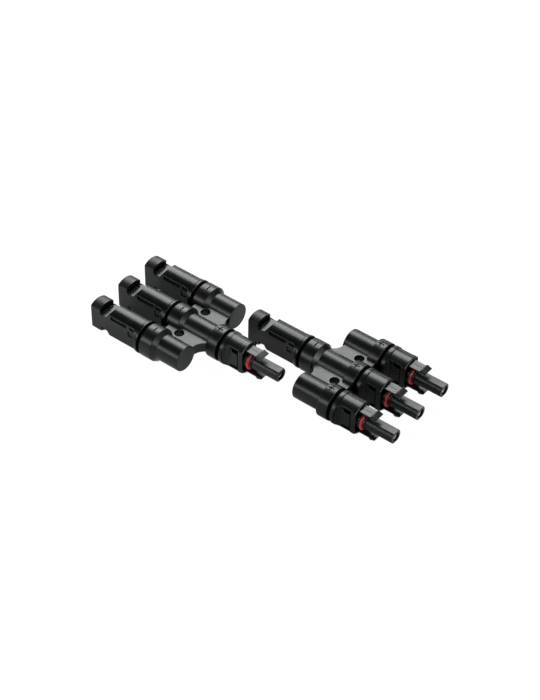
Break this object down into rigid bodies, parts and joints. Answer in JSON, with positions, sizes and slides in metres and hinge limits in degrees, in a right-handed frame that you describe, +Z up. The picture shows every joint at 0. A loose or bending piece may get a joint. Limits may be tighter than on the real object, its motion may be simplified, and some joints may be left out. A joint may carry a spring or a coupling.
{
  "type": "solar cable branch connector",
  "caption": "Matched parallel branch connectors for solar cables: hooded ports, latching plugs, sealing rings and webs with fixing holes.",
  "frame": {"origin": "centre of the pair's footprint, on the surface that it lies on", "axes": "+X along the ports, from the hood mouths towards the plug noses; +Y across the rows of ports, from unit A to unit B; +Z up"},
  "size_m": [0.2076, 0.0976, 0.0217],
  "materials": {
    "body_plastic": "black, fine moulded grain, satin",
    "hood_plastic": "black, satin moulded plastic",
    "housing_plastic": "black, satin moulded plastic",
    "latch_plastic": "black, slightly paler satin plastic",
    "seal_rubber": "black sealing rubber",
    "o_ring_rubber": "red silicone rubber",
    "tinned_contact": "tin plated, turned",
    "contact_band": "stamped copper alloy",
    "clip_steel": "stamped stainless steel",
    "bus_copper": "bare copper bar"
  },
  "bodies": {
    "unit_a": {"a_branch_body": "body_plastic", "a_busbar": "bus_copper", "a_front_hood": "hood_plastic", "a_mid_hood": "hood_plastic", "a_rear_hood": "hood_plastic", "a_front_hood_seal": "seal_rubber", "a_mid_hood_seal": "seal_rubber", "a_rear_hood_seal": "seal_rubber", "a_front_pin": "tinned_contact", "a_mid_pin": "tinned_contact", "a_rear_pin": "tinned_contact", "a_front_pin_clip": "clip_steel", "a_mid_pin_clip": "clip_steel", "a_rear_pin_clip": "clip_steel", "a_mid_housing": "housing_plastic", "a_mid_plug_seal": "seal_rubber", "a_mid_o_ring": "o_ring_rubber", "a_mid_socket": "tinned_contact", "a_mid_socket_clip": "clip_steel", "a_mid_contact_spring": "contact_band"},
    "unit_b": {"b_branch_body": "body_plastic", "b_busbar": "bus_copper", "b_mid_hood": "hood_plastic", "b_mid_hood_seal": "seal_rubber", "b_mid_pin": "tinned_contact", "b_mid_pin_clip": "clip_steel", "b_front_housing": "housing_plastic", "b_mid_housing": "housing_plastic", "b_rear_housing": "housing_plastic", "b_front_plug_seal": "seal_rubber", "b_mid_plug_seal": "seal_rubber", "b_rear_plug_seal": "seal_rubber", "b_front_o_ring": "o_ring_rubber", "b_mid_o_ring": "o_ring_rubber", "b_rear_o_ring": "o_ring_rubber", "b_front_socket": "tinned_contact", "b_mid_socket": "tinned_contact", "b_rear_socket": "tinned_contact", "b_front_socket_clip": "clip_steel", "b_mid_socket_clip": "clip_steel", "b_rear_socket_clip": "clip_steel", "b_front_contact_spring": "contact_band", "b_mid_contact_spring": "contact_band", "b_rear_contact_spring": "contact_band"},
    "a_mid_latch_top": {"a_mid_latch_top": "latch_plastic"},
    "a_mid_latch_bottom": {"a_mid_latch_bottom": "latch_plastic"},
    "b_front_latch_top": {"b_front_latch_top": "latch_plastic"},
    "b_front_latch_bottom": {"b_front_latch_bottom": "latch_plastic"},
    "b_mid_latch_top": {"b_mid_latch_top": "latch_plastic"},
    "b_mid_latch_bottom": {"b_mid_latch_bottom": "latch_plastic"},
    "b_rear_latch_top": {"b_rear_latch_top": "latch_plastic"},
    "b_rear_latch_bottom": {"b_rear_latch_bottom": "latch_plastic"}
  },
  "joints": [
    {"name": "pair_slide", "type": "slide", "parent": "unit_a", "child": "unit_b", "axis": [1, 0, 0], "range_m": [0, 0.06]},
    {"name": "a_mid_latch_top_flex", "type": "hinge", "parent": "unit_a", "child": "a_mid_latch_top", "pos_m": [-0.0059, -0.01295, 0.01862], "axis": [0, 1, 0], "range_deg": [0, 6.5], "stiffness_Nm_per_rad": 0.2},
    {"name": "a_mid_latch_bottom_flex", "type": "hinge", "parent": "unit_a", "child": "a_mid_latch_bottom", "pos_m": [-0.0059, -0.01295, 0.00308], "axis": [0, -1, 0], "range_deg": [0, 6.5], "stiffness_Nm_per_rad": 0.2},
    {"name": "b_front_latch_top_flex", "type": "hinge", "parent": "unit_b", "child": "b_front_latch_top", "pos_m": [0.0773, -0.01205, 0.01862], "axis": [0, 1, 0], "range_deg": [0, 6.5], "stiffness_Nm_per_rad": 0.2},
    {"name": "b_front_latch_bottom_flex", "type": "hinge", "parent": "unit_b", "child": "b_front_latch_bottom", "pos_m": [0.0773, -0.01205, 0.00308], "axis": [0, -1, 0], "range_deg": [0, 6.5], "stiffness_Nm_per_rad": 0.2},
    {"name": "b_mid_latch_top_flex", "type": "hinge", "parent": "unit_b", "child": "b_mid_latch_top", "pos_m": [0.0773, 0.01295, 0.01862], "axis": [0, 1, 0], "range_deg": [0, 6.5], "stiffness_Nm_per_rad": 0.2},
    {"name": "b_mid_latch_bottom_flex", "type": "hinge", "parent": "unit_b", "child": "b_mid_latch_bottom", "pos_m": [0.0773, 0.01295, 0.00308], "axis": [0, -1, 0], "range_deg": [0, 6.5], "stiffness_Nm_per_rad": 0.2},
    {"name": "b_rear_latch_top_flex", "type": "hinge", "parent": "unit_b", "child": "b_rear_latch_top", "pos_m": [0.0773, 0.03795, 0.01862], "axis": [0, 1, 0], "range_deg": [0, 6.5], "stiffness_Nm_per_rad": 0.2},
    {"name": "b_rear_latch_bottom_flex", "type": "hinge", "parent": "unit_b", "child": "b_rear_latch_bottom", "pos_m": [0.0773, 0.03795, 0.00308], "axis": [0, -1, 0], "range_deg": [0, 6.5], "stiffness_Nm_per_rad": 0.2}
  ]
}
